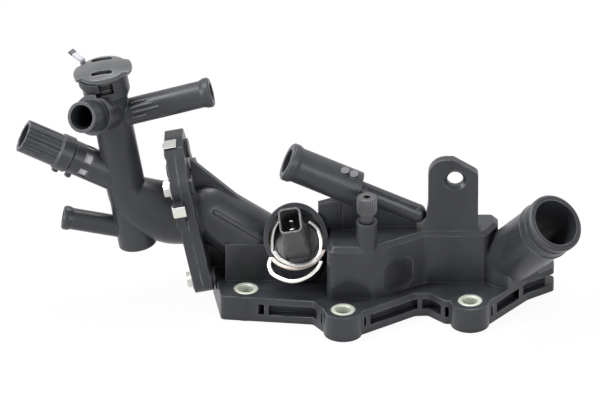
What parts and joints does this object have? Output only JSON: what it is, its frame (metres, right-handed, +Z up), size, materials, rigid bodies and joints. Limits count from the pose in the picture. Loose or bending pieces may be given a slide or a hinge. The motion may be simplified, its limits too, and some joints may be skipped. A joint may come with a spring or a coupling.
{
  "type": "coolant flange",
  "caption": "Moulded engine coolant flange with hose spigots, a bolted branch tower, a clipped temperature sensor, a bleed screw and a vent plug.",
  "frame": {"origin": "foot of the middle front bolt sleeve, on the base face", "axes": "+Z up from the base face, +X along the housing towards the wide outlet, bolt side towards -Y"},
  "size_m": [0.316, 0.0878, 0.1507],
  "materials": {
    "black_nylon": "satin",
    "grey_nylon": "satin",
    "natural_nylon": "satin",
    "seal_rubber": "matte",
    "zinc_steel": "satin",
    "spring_steel": "gloss",
    "black_screw": "satin",
    "tinned_pin": "satin",
    "brass": "satin"
  },
  "bodies": {
    "flange_body": {"housing": "black_nylon", "base_gasket": "seal_rubber", "sleeve_1": "zinc_steel", "sleeve_2": "zinc_steel", "sleeve_3": "zinc_steel", "sleeve_4": "zinc_steel", "sleeve_5": "zinc_steel", "branch_tower": "black_nylon", "joint_gasket": "seal_rubber", "joint_screw_1": "black_screw", "joint_screw_2": "black_screw", "joint_screw_3": "black_screw", "joint_screw_4": "black_screw", "sensor_body": "black_nylon", "sensor_seal": "seal_rubber", "sensor_probe": "brass", "sensor_pin_1": "tinned_pin", "sensor_pin_2": "tinned_pin", "sensor_clip": "spring_steel", "vent_plug": "grey_nylon", "vent_seal": "seal_rubber", "vent_clip": "natural_nylon", "coupling_plug": "black_nylon", "coupling_lock": "natural_nylon", "coupling_seal": "seal_rubber"},
    "bleed_seal_body": {"bleed_seal": "seal_rubber"},
    "bleed_screw_body": {"bleed_screw": "grey_nylon"}
  },
  "joints": [
    {"name": "bleed_lift", "type": "slide", "parent": "flange_body", "child": "bleed_seal_body", "axis": [0, 0, 1], "range_m": [0, 0.0045]},
    {"name": "bleed_turn", "type": "hinge", "parent": "bleed_seal_body", "child": "bleed_screw_body", "pos_m": [0.0132, 0.0176, 0.0617], "axis": [0, 0, 1], "range_deg": [0, 1080.5]}
  ],
  "couplings": [
    {"joint": "bleed_turn", "follows": "bleed_lift", "rad_per_m": 4188.8}
  ]
}
